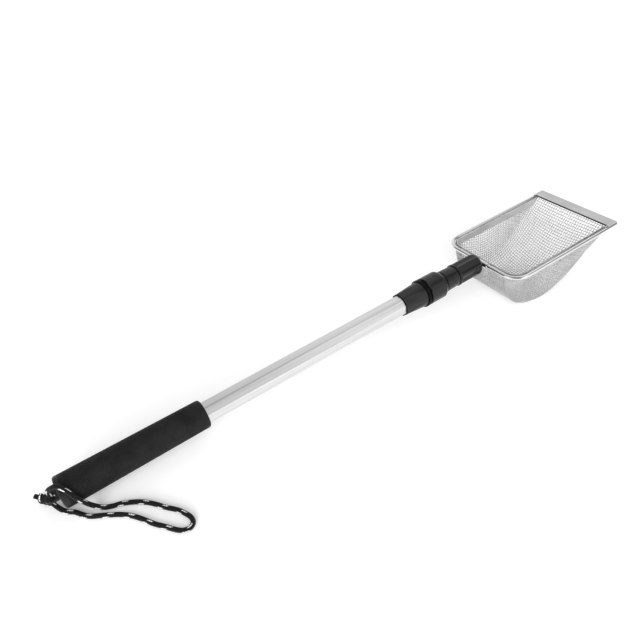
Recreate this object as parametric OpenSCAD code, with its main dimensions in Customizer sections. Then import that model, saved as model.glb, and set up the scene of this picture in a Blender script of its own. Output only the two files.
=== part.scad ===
// Telescopic hand skimmer: a soft grip and wrist cord, a two-section octagonal pole with a twist
// lock, and a wire-mesh scoop with a flat steel front blade. It lies on the floor as when put down:
// the butt and the bottom of the basket touch the floor, and +X runs from the butt to the blade.

/* [Grip] */
// Length of the grip with its end cap
grip_len = 162; // [130:1:220]
// Diameter of the grip at the butt
grip_butt_d = 35.6; // [33:0.2:42]
// Diameter of the grip at its front end
grip_front_d = 33; // [31:0.2:40]
// Radius of the grip's front edge
grip_edge_r = 2.6; // [1:0.1:3]
// Thickness of the end cap's flange
cap_flange = 6; // [4:0.5:10]
// Radius of the end cap's outer edge
cap_edge_r = 2.4; // [1:0.1:3]
// Depth that the end cap's plug reaches into the tube
cap_plug_len = 20; // [10:1:40]
// Length of the cord eye behind the end cap
eye_len = 15; // [14:0.5:18]
// Thickness of the cord eye
eye_t = 3; // [2:0.5:4]
// Diameter of the hole in the cord eye
eye_hole_d = 8; // [7.4:0.1:9]
// Width of the material beside the hole in the cord eye
eye_wall = 3.2; // [2:0.1:4]

/* [Pole] */
// Bare length of the outer tube between the grip and the lock collar
tube_bare_len = 278.5; // [180:0.5:420]
// Width of the outer tube across its flats
tube_flats = 25; // [24:0.1:26]
// Diameter over the rounded corners of the outer tube
tube_corner_d = 26.2; // [25.9:0.1:26.6]
// Wall of the outer tube
tube_wall = 1.2; // [0.8:0.1:1.6]
// Wall of the inner tube
inner_wall = 1.1; // [0.8:0.1:1.4]
// Gap on each side between the inner tube and the outer tube
slide_gap = 0.35; // [0.3:0.05:0.6]
// Distance from the butt to the rear end of the inner tube's guide
guide_x = 78; // [60:1:110]
// Length of the guide bush
guide_len = 18; // [12:1:26]
// Length of the guide's spigot inside the inner tube
guide_spigot = 14; // [8:1:20]
// Wall of the guide's spigot
guide_wall = 2.5; // [1.5:0.1:4]

/* [Twist lock] */
// Length of the collar from its mouth to its flange
collar_len = 33.5; // [26:0.5:44]
// Width of the collar across its flats at the mouth
collar_mouth_flats = 28.6; // [28:0.1:30]
// Diameter of the collar at the mouth, over its corners
collar_mouth_d = 30.4; // [29.8:0.1:31.4]
// Diameter of the collar where it meets its flange
collar_end_d = 33.8; // [33:0.1:35]
// Diameter of the collar's flange
flange_d = 37; // [36.2:0.1:39]
// Thickness of the collar's flange
flange_len = 4; // [3:0.5:6]
// Width of the open groove between the flange and the nut
nut_gap = 2.6; // [1.5:0.1:4]
// Diameter of the collar's nose, which the nut turns on
nose_d = 30; // [29.2:0.1:31]
// Length of the collar's nose inside the nut
nose_len = 11; // [8:0.5:13]
// Diameter of the lock nut
nut_d = 36.6; // [35.6:0.1:38]
// Length of the lock nut with its tapered front
nut_len = 30; // [28:0.5:34]
// Length of the nut's tapered front
nut_taper_len = 7; // [5:0.5:9]
// Diameter of the nut's front rim
nut_rim_d = 29.4; // [28.6:0.1:31]
// Length of the split clamping sleeve
collet_len = 11; // [8:0.5:12]
// Wall of the clamping sleeve at its thick end
collet_wall = 2.6; // [2:0.1:3]
// Width of each slot in the clamping sleeve
collet_slot = 1.6; // [1:0.1:2.4]
// Radial clearance of the parts that turn or slide on each other
running_gap = 0.3; // [0.25:0.05:0.4]

/* [Scoop socket] */
// Length of the ferrule on the inner tube's front end
ferrule_len = 20.5; // [16:0.5:28]
// Diameter of the ferrule behind
ferrule_rear_d = 29; // [28:0.1:30]
// Diameter of the ferrule in front
ferrule_front_d = 27.6; // [27:0.1:28.6]
// Diameter of the ferrule's spigot, which the socket turns on
spigot_d = 16; // [14:0.1:18]
// Length of the ferrule's spigot
spigot_len = 16; // [10:0.5:20]
// Diameter of the fluted socket
socket_d = 30; // [29:0.1:32]
// Length of the fluted socket
socket_len = 43; // [38:0.5:52]
// Radius of the socket's domed end
socket_dome_r = 9; // [6:0.5:11]
// Number of flutes round the socket
flute_count = 8; // [6:1:12]
// Depth of each flute
flute_depth = 1.2; // [0.6:0.1:1.6]
// Diameter of the steel shank that carries the scoop
shank_d = 7; // [6:0.1:8]
// Length of the shank inside the socket
shank_seat = 18; // [12:0.5:20]
// Gap between the socket's dome and the scoop's near bar
shank_gap = 0.4; // [0.3:0.1:4]

/* [Scoop frame] */
// Width of the scoop between the middles of its rails
scoop_w = 128.4; // [110:0.2:150]
// Length of the scoop from the middle of its near bar to the front edge of the blade
scoop_len = 199; // [175:1:235]
// Diameter of the rim rod
rim_d = 5.2; // [4.5:0.1:6]
// Radius of the rim's two near corners, to the middle of the rod
rim_corner_r = 22; // [16:0.5:28]
// Depth of the blade from its front edge to its rear edge
blade_depth = 18.8; // [14:0.2:24]
// Thickness of the blade's sheet
blade_t = 1.2; // [0.8:0.1:1.6]
// How far each end of the blade reaches past the middle of its rail
blade_over = 0.8; // [0.2:0.1:2.4]
// Depth of the blade's folded lower leaf
leaf_depth = 11; // [8:0.5:13]
// Length of the mesh's front edge that runs flat into the blade's fold
mesh_lip = 6; // [4:0.5:7]
// Height of the edge band inside the mesh
band_h = 10.3; // [6:0.1:12]
// Thickness of the mesh's edge band
band_t = 1; // [0.8:0.1:1.4]
// Width of the clamp plate that joins the shank to the near bar
clamp_w = 30; // [20:0.5:36]
// Thickness of the clamp plate
clamp_t = 1.2; // [1:0.1:1.6]

/* [Mesh basket] */
// Depth of the basket below the rim
basket_depth = 76; // [58:0.5:90]
// Diameter of the mesh wire
wire_d = 1.1; // [0.9:0.1:1.4]
// Distance between neighbouring mesh wires
mesh_pitch = 7; // [6.8:0.1:16]
// Radius between the basket's side walls and its floor
floor_corner_r = 10; // [7:0.5:13]
// Inward lean of the side walls, in millimetres for each millimetre of depth
wall_lean = 0.11; // [0.06:0.01:0.14]

/* [Wrist cord] */
// Diameter of the wrist cord
cord_d = 5.2; // [4.6:0.1:5.4]
// Diameter of the wrist cord's knot
knot_d = 12; // [11.4:0.1:12.2]

/* [Hidden] */
$fn = 64;

// ---- Stations along the pole, from the butt ----
collar_x = grip_len + tube_bare_len;
flange_x = collar_x + collar_len;
nut_x = flange_x + flange_len + nut_gap;
nut_end_x = nut_x + nut_len;
ferrule_x = nut_end_x + running_gap;
socket_x = ferrule_x + ferrule_len + running_gap;
socket_end_x = socket_x + socket_len;
clamp_r = rim_d / 2 + clamp_t;
rim_x = socket_end_x + shank_gap + clamp_r;

// ---- Small allowances ----
press_gap = 0.05; // clearance of fitted parts that don't move on each other
cut = 1; // overshoot of a cutting body
bite = 0.5; // how far two fused shapes reach into each other

// ---- Sections of the two tubes ----
tube_bore_flats = tube_flats - 2 * tube_wall;
inner_flats = tube_bore_flats - 2 * slide_gap;
inner_corner_d = inner_flats * tube_corner_d / tube_flats;
inner_bore_flats = inner_flats - 2 * inner_wall;
throat_d = inner_corner_d + 2 * running_gap;
tube_x = cap_flange;
tube_end_x = flange_x;
inner_x = guide_x + guide_len;
ferrule_seat = 15; // depth of the inner tube in the ferrule
inner_end_x = ferrule_x + ferrule_seat;

// ---- Mesh wires and the basket's plan ----
wire_r = wire_d / sqrt(2);
wire_lift = 0.35 * wire_d;
wire_below = wire_lift + wire_d / 2; // half the mesh's thickness at a crossing
wall_inset = rim_d / 2 + press_gap + wire_below;
wall_half_w = scoop_w / 2 - wall_inset;
basket_corner_r = rim_corner_r - wall_inset;

// ---- Outline of the basket, seen from the side, measured from the near bar ----
// The control points of its two curves are shares of the basket's length and depth
lip_gap = 2; // flat mesh between the floor's curve and the blade's fold
basket_end_x = scoop_len - leaf_depth - lip_gap;
heel = [0.255, 0.925];
back_shape = [[0, 0], [0.01, 0.44], [0.04, 0.74], heel];
floor_shape = [heel, [0.51, 1.145], [0.705, 0.855], [1, 0]];
lip_z = 0.8;
back_steps = 10;
floor_steps = 18;
toe_share = 0.76; // where the upright back ends and the floor begins
function outline_point(share) =
    [wall_inset + share[0] * (basket_end_x - wall_inset), lip_z - share[1] * (basket_depth + lip_z)];
function bezier(c, t) = outline_point(pow(1 - t, 3) * c[0] + 3 * t * pow(1 - t, 2) * c[1]
    + 3 * t * t * (1 - t) * c[2] + pow(t, 3) * c[3]);
back_line = [for (i = [0 : back_steps]) bezier(back_shape, toe_share * i / back_steps)];
toe = back_line[back_steps];
floor_line = concat([for (i = [0 : 3]) bezier(back_shape, toe_share + (1 - toe_share) * i / 4)],
                    [for (i = [0 : floor_steps]) bezier(floor_shape, i / floor_steps)],
                    [[basket_end_x + mesh_lip, lip_z]]);
// Height of the floor at x, depth of the basket at x, and how far the back has come in at height z
function floor_z(x) = lookup(x, floor_line);
function depth(x) = max(0, -floor_z(x));
// Radius of the turn between side wall and floor, which gets tighter up the ramp
turn_share = 0.4;
function floor_turn(x) = min(floor_corner_r, turn_share * depth(x));
function back_shift(z) = lookup(z, [for (p = back_line) [p[1], p[0]]]) - wall_inset;

// ---- Resting posture: the butt's edge and the lowest wire touch the floor ----
butt_r = grip_butt_d / 2;
butt_c = [cap_edge_r, cap_edge_r - butt_r];
function rest_angle(q) = -asin(cap_edge_r / norm(q - butt_c)) - atan2(q[1] - butt_c[1], q[0] - butt_c[0]);
pole_pitch = max([for (p = floor_line) rest_angle([rim_x + p[0], p[1] - wire_below])]);
rest_h = cap_edge_r - butt_c[1] * cos(pole_pitch) - butt_c[0] * sin(pole_pitch);

// The frame's origin is on the floor, midway between the cord eye and the blade's front edge
mid_x = (rim_x + scoop_len - eye_len) / 2 * cos(pole_pitch);

module on_floor() {
    translate([-mid_x, 0, 0]) children();
}

module on_pole() {
    on_floor() translate([0, 0, rest_h]) rotate([0, -pole_pitch, 0]) children();
}

module on_rim() {
    on_pole() translate([rim_x, 0, 0]) children();
}

module rod(x0, x1, d) {
    translate([x0, 0, 0]) rotate([0, 90, 0]) cylinder(d = d, h = x1 - x0);
}

module taper(x0, x1, d0, d1) {
    translate([x0, 0, 0]) rotate([0, 90, 0]) cylinder(d1 = d0, d2 = d1, h = x1 - x0);
}

// Revolves an outline of [x, radius] points round the pole's axis
module turned(points) {
    rotate([0, 90, 0]) rotate_extrude() polygon([for (p = points) [p[1], p[0]]]);
}

// An octagonal bar along the pole, with a flat on top
module octagon_bar(x0, x1, flats) {
    translate([x0, 0, 0]) rotate([0, 90, 0]) rotate([0, 0, 22.5])
        cylinder(d = flats / cos(22.5), h = x1 - x0, $fn = 8);
}

module rounded_octagon_bar(x0, x1, flats, corner_d) {
    intersection() {
        octagon_bar(x0, x1, flats);
        rod(x0 - cut, x1 + cut, corner_d);
    }
}

// The space that the outer tube takes in a part fitted over it
module tube_seat(x0, x1) {
    rounded_octagon_bar(x0, x1, tube_flats + 2 * press_gap, tube_corner_d + 2 * press_gap);
}

function arc(c, r, from, to, n) =
    [for (i = [0 : n]) let (a = from + (to - from) * i / n) c + r * [cos(a), sin(a)]];

// ---- Grip and wrist cord ----
module grip() {
    front_r = grip_front_d / 2;
    color("#2b2b2b") on_pole() difference() {
        turned(concat([[cap_flange, 0], [cap_flange, butt_r]],
                      arc([grip_len - grip_edge_r, front_r - grip_edge_r], grip_edge_r, 90, 0, 8),
                      [[grip_len, 0]]));
        tube_seat(cap_flange - cut, grip_len + cut);
    }
}

module grip_end_cap() {
    eye_w = eye_hole_d + 2 * eye_wall;
    eye_hole_x = eye_wall + eye_hole_d / 2 - eye_len;
    color("#1e1e1e") on_pole() {
        turned(concat([[0, 0]], arc([cap_edge_r, butt_r - cap_edge_r], cap_edge_r, 180, 90, 8),
                      [[cap_flange, butt_r], [cap_flange, 0]]));
        octagon_bar(cap_flange, cap_flange + cap_plug_len, tube_bore_flats - 2 * press_gap);
        difference() {
            union() {
                translate([eye_hole_x, -eye_w / 2, -eye_t / 2]) cube([bite - eye_hole_x, eye_w, eye_t]);
                translate([eye_hole_x, 0, -eye_t / 2]) cylinder(d = eye_w, h = eye_t);
            }
            translate([eye_hole_x, 0, -eye_t]) cylinder(d = eye_hole_d, h = 2 * eye_t);
        }
    }
}

// The wrist cord's middle line: out of the knot, up through the eye, over the butt, down past the
// grip to the floor, round the wrist loop and back to the knot
cord_route = [
    [-13, 9, 10], [-9.5, 2.5, 12], [-7.8, 0, 15], [-8.4, 0, 23.5], [-7.5, -2, 30], [-3.5, -5.8, 35],
    [1, -9, 37], [7, -15.5, 33], [12.5, -21, 24], [18.5, -22, 12], [25, -25.5, 5.5], [32.5, -31, 3.1],
    [40, -34, 2.7], [48.5, -36.5, 2.7], [60, -42.5, 2.7], [68, -48.5, 2.7], [76, -57, 2.7],
    [83, -66.5, 2.7], [92, -77, 2.7], [97, -86, 2.7], [99.5, -93, 2.7], [98.5, -99.5, 2.7],
    [93.5, -103, 2.7], [87, -101.5, 2.7], [81, -96, 2.7], [74, -87, 2.7], [67, -78.5, 2.7],
    [61, -69, 2.7], [55.5, -61, 2.7], [50, -54.5, 2.7], [42.5, -48, 2.7], [34, -42.5, 2.7],
    [25.5, -37.5, 2.7], [18.5, -33.5, 2.7], [13, -28, 2.7], [6.5, -19, 2.7], [1, -14.5, 2.7],
    [-3.5, -9, 2.9], [-7, -2.3, 3.7], [-10.3, 5.5, 4.9]
];
cord_sides = 8;

// Point at share t between points i and i + 1 of a smooth curve through all of them
function spline_point(p, i, t) = let (last = len(p) - 1, a = p[max(i - 1, 0)], b = p[i],
    c = p[min(i + 1, last)], d = p[min(i + 2, last)])
    0.5 * (2 * b + (c - a) * t + (2 * a - 5 * b + 4 * c - d) * t * t + (3 * b - a - 3 * c + d) * t * t * t);
cord_line = concat([for (i = [0 : len(cord_route) - 2]) for (t = [0, 0.5]) spline_point(cord_route, i, t)],
                   [cord_route[len(cord_route) - 1]]);

function unit(v) = v / norm(v);
function heading(p, i) = unit(p[min(i + 1, len(p) - 1)] - p[max(i - 1, 0)]);
// Side vectors that turn along a line with no twist
function carried(p, i, v) = let (h = heading(p, i)) unit(v - (v * h) * h);
function side_vectors(p, i, v) =
    i == len(p) ? [] : let (w = carried(p, i, v)) concat([w], side_vectors(p, i + 1, w));

// A tube of the given number of sides, swept along the points from a side vector at each point
module swept_tube(p, sides_v, r, sides, turn = 0) {
    n = len(p);
    rings = [for (i = [0 : n - 1]) let (u = sides_v[i], w = cross(heading(p, i), u))
        for (k = [0 : sides - 1]) let (a = turn + 360 * k / sides) p[i] + r * (cos(a) * u + sin(a) * w)];
    walls = [for (i = [0 : n - 2]) for (k = [0 : sides - 1]) let (k2 = (k + 1) % sides)
        each [[i * sides + k, (i + 1) * sides + k, (i + 1) * sides + k2],
              [i * sides + k, (i + 1) * sides + k2, i * sides + k2]]];
    first = [for (k = [0 : sides - 1]) k];
    last = [for (k = [0 : sides - 1]) n * sides - 1 - k];
    polyhedron(rings, concat(walls, [first, last]), convexity = 10);
}

module wrist_cord() {
    color("#202020") on_floor()
        swept_tube(cord_line, side_vectors(cord_line, 0, [1, 0, 0]), cord_d / 2, cord_sides);
}

// The knot: three turns of cord round its core, and the cord's cut end standing out in front
knot_at = [-12.5, 10.5, 6.2];
knot_turn = 131;
knot_core_over = 1.5;
cut_end_len = 8;

module cord_knot() {
    color("#202020") on_floor() translate(knot_at) rotate([0, 0, knot_turn]) rotate([0, 90, 0]) {
        for (k = [-1 : 1]) translate([0, 0, k * cord_d]) rotate_extrude()
            translate([(knot_d - cord_d) / 2, 0]) circle(d = cord_d);
        translate([0, 0, -cord_d - knot_core_over])
            cylinder(d = knot_d - cord_d, h = 2 * (cord_d + knot_core_over));
        translate([0, 0, cord_d]) cylinder(d = cord_d, h = cut_end_len);
        translate([0, 0, cord_d + cut_end_len]) sphere(d = cord_d);
    }
}

// ---- Pole ----
module outer_tube() {
    color("#d4d6d8") on_pole() difference() {
        rounded_octagon_bar(tube_x, tube_end_x, tube_flats, tube_corner_d);
        octagon_bar(tube_x - cut, tube_end_x + cut, tube_bore_flats);
    }
}

module inner_tube() {
    color("#c8cacc") on_pole() difference() {
        rounded_octagon_bar(inner_x, inner_end_x, inner_flats, inner_corner_d);
        octagon_bar(inner_x - cut, inner_end_x + cut, inner_bore_flats);
    }
}

// Fills the outer tube's bore behind the inner tube and keeps it in line
module guide_bush() {
    spigot_end_x = inner_x + guide_spigot;
    color("#e6e6e0") on_pole() difference() {
        union() {
            octagon_bar(guide_x, inner_x, tube_bore_flats - running_gap);
            octagon_bar(inner_x - bite, spigot_end_x, inner_bore_flats - 2 * press_gap);
        }
        rod(guide_x - cut, spigot_end_x + cut, inner_bore_flats - 2 * guide_wall);
    }
}

// ---- Twist lock ----
// Turning the nut on the collar's nose presses its inner cone on the split sleeve, which grips the
// inner tube
nose_end_x = nut_x + nose_len;
sleeve_x = nose_end_x + running_gap;
sleeve_end_x = sleeve_x + collet_len;
sleeve_bore_r = inner_corner_d / 2 + running_gap;
sleeve_head = 2;
sleeve_end_share = 0.4; // wall at the sleeve's thin end, as a share of the wall at its head

// Eight flats cut the round collar and fade out towards the flange
module collar_flats() {
    over = 5; // how far the cutting slabs start behind the collar's mouth
    lean = atan((collar_end_d - collar_mouth_flats) / 2 / collar_len);
    for (k = [0 : 7]) rotate([45 * k, 0, 0])
        translate([collar_x, 0, collar_mouth_flats / 2]) rotate([0, -lean, 0])
            translate([-over, -collar_end_d, 0]) cube([collar_len + over, 2 * collar_end_d, collar_end_d]);
}

module lock_collar() {
    color("#242424") on_pole() difference() {
        union() {
            difference() {
                taper(collar_x, flange_x, collar_mouth_d, collar_end_d);
                collar_flats();
            }
            rod(flange_x, flange_x + flange_len, flange_d);
            rod(flange_x + flange_len, nose_end_x, nose_d);
        }
        tube_seat(collar_x - cut, tube_end_x);
        rod(tube_end_x - cut, nose_end_x + cut, throat_d);
    }
}

module clamp_sleeve() {
    thin_r = sleeve_bore_r + sleeve_end_share * collet_wall;
    thick_r = sleeve_bore_r + collet_wall;
    color("#e9e6dc") on_pole() difference() {
        turned([[sleeve_x, sleeve_bore_r], [sleeve_x, thick_r], [sleeve_x + sleeve_head, thick_r],
                [sleeve_end_x, thin_r], [sleeve_end_x, sleeve_bore_r]]);
        for (k = [0 : 3]) rotate([45 + 90 * k, 0, 0])
            translate([sleeve_x + sleeve_head + cut, 0, -collet_slot / 2])
                cube([collet_len, throat_d, collet_slot]);
    }
}

module lock_nut() {
    edge = 0.8;
    lip = 1.2;
    nose_r = nose_d / 2 + running_gap;
    cone_r = sleeve_bore_r + collet_wall + running_gap;
    cone_end_r = cone_r - (1 - sleeve_end_share) * collet_wall;
    seat_x = sleeve_end_x + running_gap;
    color("#242424") on_pole() turned([
        [nut_x, nose_r], [nut_x, nut_d / 2 - edge], [nut_x + edge, nut_d / 2],
        [nut_end_x - nut_taper_len, nut_d / 2], [nut_end_x - lip, nut_rim_d / 2],
        [nut_end_x, nut_rim_d / 2 - edge], [nut_end_x, throat_d / 2], [seat_x, throat_d / 2],
        [seat_x, cone_end_r], [sleeve_x + sleeve_head, cone_r], [sleeve_x, cone_r], [sleeve_x, nose_r]
    ]);
}

// ---- Ferrule and scoop socket ----
module front_ferrule() {
    edge = 0.5;
    end_x = ferrule_x + ferrule_len;
    color("#242424") on_pole() difference() {
        union() {
            turned([[ferrule_x, 0], [ferrule_x, ferrule_rear_d / 2 - edge],
                    [ferrule_x + edge, ferrule_rear_d / 2], [end_x - edge, ferrule_front_d / 2],
                    [end_x, ferrule_front_d / 2 - edge], [end_x, 0]]);
            rod(end_x - bite, end_x + spigot_len, spigot_d);
        }
        rounded_octagon_bar(ferrule_x - cut, inner_end_x, inner_flats + 2 * press_gap,
                            inner_corner_d + 2 * press_gap);
    }
}

module scoop_socket() {
    rim_r = socket_d / 2;
    flute_r = rim_r;
    plain_len = 3;
    flute_x = socket_x + plain_len;
    edge = 0.6;
    spigot_room = 0.5;
    color("#262626") on_pole() difference() {
        turned(concat([[socket_x, 0], [socket_x, rim_r - edge], [socket_x + edge, rim_r]],
                      arc([socket_end_x - socket_dome_r, rim_r - socket_dome_r], socket_dome_r, 90, 0, 12),
                      [[socket_end_x, 0]]));
        for (k = [0 : flute_count - 1]) rotate([360 * k / flute_count, 0, 0])
            translate([flute_x, 0, rim_r + flute_r - flute_depth]) rotate([0, 90, 0])
                cylinder(r = flute_r, h = socket_len);
        rod(socket_x - cut, socket_x + spigot_len + spigot_room, spigot_d + 2 * running_gap);
        rod(socket_end_x - shank_seat, socket_end_x + cut, shank_d + 2 * press_gap);
    }
}

// The shank's front end is cut to a saddle that sits on the clamp
module socket_shank() {
    color("#c9cbcd") on_pole() difference() {
        rod(socket_end_x - shank_seat, rim_x, shank_d);
        translate([rim_x, shank_d, 0]) rotate([90, 0, 0]) cylinder(r = clamp_r + press_gap, h = 2 * shank_d);
    }
}

// ---- Scoop frame, measured from the middle of the near bar ----
// A sheet strap folded round the near bar, open in front where the edge band passes
module shank_clamp() {
    color("#b9bbbd") on_rim() difference() {
        translate([0, clamp_w / 2, 0]) rotate([90, 0, 0]) cylinder(r = clamp_r, h = clamp_w);
        translate([0, clamp_w, 0]) rotate([90, 0, 0]) cylinder(d = rim_d + 2 * press_gap, h = 2 * clamp_w);
        translate([rim_d / 4, -clamp_w, -2 * clamp_r]) cube([2 * clamp_r, 2 * clamp_w, 4 * clamp_r]);
    }
}

module rim_bar(from, to) {
    length = norm(to - from);
    turn = atan2(to[1] - from[1], to[0] - from[0]);
    translate([from[0], from[1], 0]) rotate([0, 0, turn]) rod(0, length, rim_d);
}

module rim_rod() {
    half = scoop_w / 2;
    r = rim_corner_r;
    rail_end = scoop_len - blade_t - running_gap;
    color("#cfd1d3") on_rim() {
        rim_bar([0, r - half], [0, half - r]);
        for (side = [-1, 1]) {
            rim_bar([r, side * half], [rail_end, side * half]);
            translate([r, side * (half - r), 0]) rotate([0, 0, side > 0 ? 90 : 180])
                rotate_extrude(angle = 90) translate([r, 0]) circle(d = rim_d);
        }
    }
}

// One sheet: the plate lies on the rails, folds down in front and back under the mesh's edge
module front_blade() {
    half = scoop_w / 2 + blade_over;
    leaf_half = (scoop_w - rim_d) / 2 - running_gap;
    plate_z = rim_d / 2 + press_gap;
    leaf_z = lip_z - wire_below - 2 * press_gap - blade_t;
    fold = 2;
    color("#b4b6b8") on_rim() {
        translate([scoop_len - blade_depth, -half, plate_z]) cube([blade_depth, 2 * half, blade_t]);
        translate([scoop_len, leaf_half, 0]) rotate([90, 0, 0]) linear_extrude(2 * leaf_half)
            polygon([[-leaf_depth, leaf_z], [-fold, leaf_z], [0, leaf_z + fold],
                     [0, plate_z + bite], [-blade_t, plate_z + bite],
                     [-blade_t, leaf_z + blade_t], [-leaf_depth, leaf_z + blade_t]]);
    }
}

// Plan of the U-shaped space inside the rim, drawn in by the given inset
module u_plan(inset, front_x) {
    half = scoop_w / 2 - inset;
    r = rim_corner_r - inset;
    translate([inset + r, -half]) square([front_x - inset - r, 2 * half]);
    translate([inset, r - half]) square([r + bite, 2 * (half - r)]);
    for (side = [-1, 1]) translate([inset + r, side * (half - r)]) circle(r = r);
}

// A sheet strip inside the mesh. Its lower edge rises in front, above the turn into the ramp.
module mesh_edge_band() {
    top_z = rim_d / 4;
    outer = wall_inset + wall_lean * (band_h - top_z) + wire_below + press_gap;
    front_x = scoop_len - blade_depth - press_gap;
    color("#9fa1a3") on_rim() intersection() {
        translate([0, 0, top_z - band_h]) linear_extrude(band_h) difference() {
            u_plan(outer, front_x);
            u_plan(outer + band_t, front_x + cut);
        }
        translate([0, scoop_w / 2, 0]) rotate([90, 0, 0]) linear_extrude(scoop_w)
            polygon(concat([for (p = floor_line) [p[0], p[1] + floor_turn(p[0]) + wire_below]],
                           [[scoop_len, band_h], [-cut, band_h], [-cut, -band_h]]));
    }
}

// ---- Mesh basket ----
// Square wires run in two directions and sink a little into each other where they cross, as in a
// welded mesh. The long wires and the hoops lie outside, the cross wires and the uprights inside.
module wire(p, across) {
    swept_tube(p, [for (q = p) across], wire_r, 4, 45);
}

// Stations of the cross wires, evenly spaced along the floor's line
floor_run = [for (i = 0, run = 0; i < len(floor_line);
    run = run + norm(floor_line[min(i + 1, len(floor_line) - 1)] - floor_line[i]), i = i + 1) run];
floor_total = floor_run[len(floor_run) - 1];
run_to_x = [for (i = [0 : len(floor_line) - 1]) [floor_run[i], floor_line[i][0]]];
cross_count = round(floor_total / mesh_pitch);
cross_x = [for (i = [0 : cross_count - 1]) lookup((i + 0.5) * floor_total / cross_count, run_to_x)];
split_i = round(cross_count / 2);
split_x = (cross_x[split_i - 1] + cross_x[split_i]) / 2;

// Stations of the long wires across the floor, and of the hoops down the walls
function wall_y(z) = wall_half_w + wall_lean * z;
function floor_half(x) = wall_y(floor_turn(x) - depth(x)) - floor_turn(x);
long_half = wall_half_w - basket_corner_r;
long_pairs = round(long_half / mesh_pitch);
long_y = [for (i = [-long_pairs : long_pairs]) long_half * i / long_pairs];
// Up the ramp the floor gets wider, and more long wires start beside the others
wide_count = floor((floor_half(basket_end_x) - long_half) / mesh_pitch);
wide_y = [for (k = [1 : wide_count]) long_half + k * mesh_pitch];
function wide_start(y) = [for (x = cross_x) if (x > split_x && floor_half(x) > y) x][0] - wire_d / 2;
hoop_count = floor(-toe[1] / mesh_pitch);
hoop_z = [for (k = [0 : hoop_count]) k == 0 ? -wire_d : k * toe[1] / (hoop_count + 0.5)];

// Point on the round corner between side wall and floor: turn 0 is on the wall, 90 on the floor
function turn_point(x, turn, lift) = let (r = floor_turn(x))
    [x, floor_half(x) + (r + lift) * cos(turn), r - depth(x) - (r + lift) * sin(turn)];

// A side wall's upright follows the wall down and turns under to meet a cross wire
function upright(x) = concat([[x, wall_y(0) - wire_lift, 0]],
                             [for (turn = [0 : 18 : 90]) turn_point(x, turn, -wire_lift)]);

// Uprights stand where the wall is deep enough for their turn
upright_x = [for (x = cross_x) if (depth(x) > 4 * wire_d) x];
last_upright_x = upright_x[len(upright_x) - 1];
// Height where the upright at x is well into its turn under the floor
turned_share = 0.8;
function upright_foot(x) = turned_share * floor_turn(x) - depth(x);
turn_line_x = concat([for (p = floor_line) if (p[0] < last_upright_x - wire_d) p[0]],
                     [last_upright_x + wire_d / 2]);

module side_wall(side) {
    mirror([0, side < 0 ? 1 : 0, 0]) {
        for (x = upright_x) wire(upright(x), [1, 0, 0]);
        wire([for (x = turn_line_x) turn_point(x, 45, wire_lift)], [0, 1, -1]);
        for (z = hoop_z) {
            crossed = [for (x = upright_x) if (upright_foot(x) < z) x];
            start_x = upright_foot(toe[0]) < z ? toe[0] : crossed[0] - wire_d / 2;
            end_x = crossed[len(crossed) - 1] + wire_d / 2;
            wire([for (x = [start_x, end_x]) [x, wall_y(z) + wire_lift, z]], [0, 0, 1]);
        }
    }
}

// Point on the round upright corner: turn 0 faces the side wall and 90 faces the back. Going down, the
// side leans in, close to the floor it rounds in too, and the middle of the turn moves to the toe.
round_from_z = 0.75 * toe[1];
function side_shift(z) = -wall_lean * z
    + floor_corner_r / 2 * pow(max(0, (z - round_from_z) / (toe[1] - round_from_z)), 2);
function corner_x(z) = rim_corner_r + (toe[0] - rim_corner_r) * max(0, z / toe[1]);
function corner_point(turn, z, lift) =
    [corner_x(z) - (corner_x(z) - wall_inset - back_shift(z) + lift) * sin(turn),
     long_half + (basket_corner_r - side_shift(z) + lift) * cos(turn), z];

module corner_wall(side) {
    mirror([0, side < 0 ? 1 : 0, 0]) {
        for (turn = [15, 45, 75])
            wire([for (p = back_line) corner_point(turn, p[1], -wire_lift)], [cos(turn), sin(turn), 0]);
        for (z = hoop_z)
            wire(concat([corner_point(0, z, wire_lift) + [toe[0] - corner_x(z), 0, 0]],
                        [for (turn = [0 : 15 : 75]) corner_point(turn, z, wire_lift)],
                        [corner_point(90, z, wire_lift) + [0, wire_d / 2, 0]]), [0, 0, 1]);
    }
}

module back_wall() {
    half = long_half + wire_d / 2;
    for (y = long_y) wire([for (p = back_line) [p[0] + wire_lift, y, p[1]]], [0, 1, 0]);
    for (z = hoop_z) {
        x = wall_inset + back_shift(z) - wire_lift;
        wire([[x, -half, z], [x, half, z]], [0, 0, 1]);
    }
}

module long_wire(y, x0, x1) {
    inner = [for (p = floor_line) if (p[0] > x0 + bite && p[0] < x1 - bite) p];
    line = concat([[x0, floor_z(x0)]], inner, [[x1, floor_z(x1)]]);
    wire([for (p = line) [p[0], y, p[1] - wire_lift]], [0, 1, 0]);
}

module floor_part(x0, x1) {
    for (y = long_y) long_wire(y, x0, x1);
    for (x = cross_x) if (x > x0 && x < x1)
        wire([for (side = [-1, 1]) [x, side * floor_half(x), floor_z(x) + wire_lift]], [1, 0, 0]);
}

mesh_color = "#bcbec0";
module basket_back() color(mesh_color) on_rim() back_wall();
module basket_corner_left() color(mesh_color) on_rim() corner_wall(1);
module basket_corner_right() color(mesh_color) on_rim() corner_wall(-1);
module basket_left() color(mesh_color) on_rim() side_wall(1);
module basket_right() color(mesh_color) on_rim() side_wall(-1);
module basket_floor() color(mesh_color) on_rim() floor_part(toe[0], split_x);
module basket_ramp() color(mesh_color) on_rim() {
    floor_part(split_x, basket_end_x + mesh_lip);
    for (y = wide_y) for (side = [-1, 1]) long_wire(side * y, wide_start(y), basket_end_x + mesh_lip);
}

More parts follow.
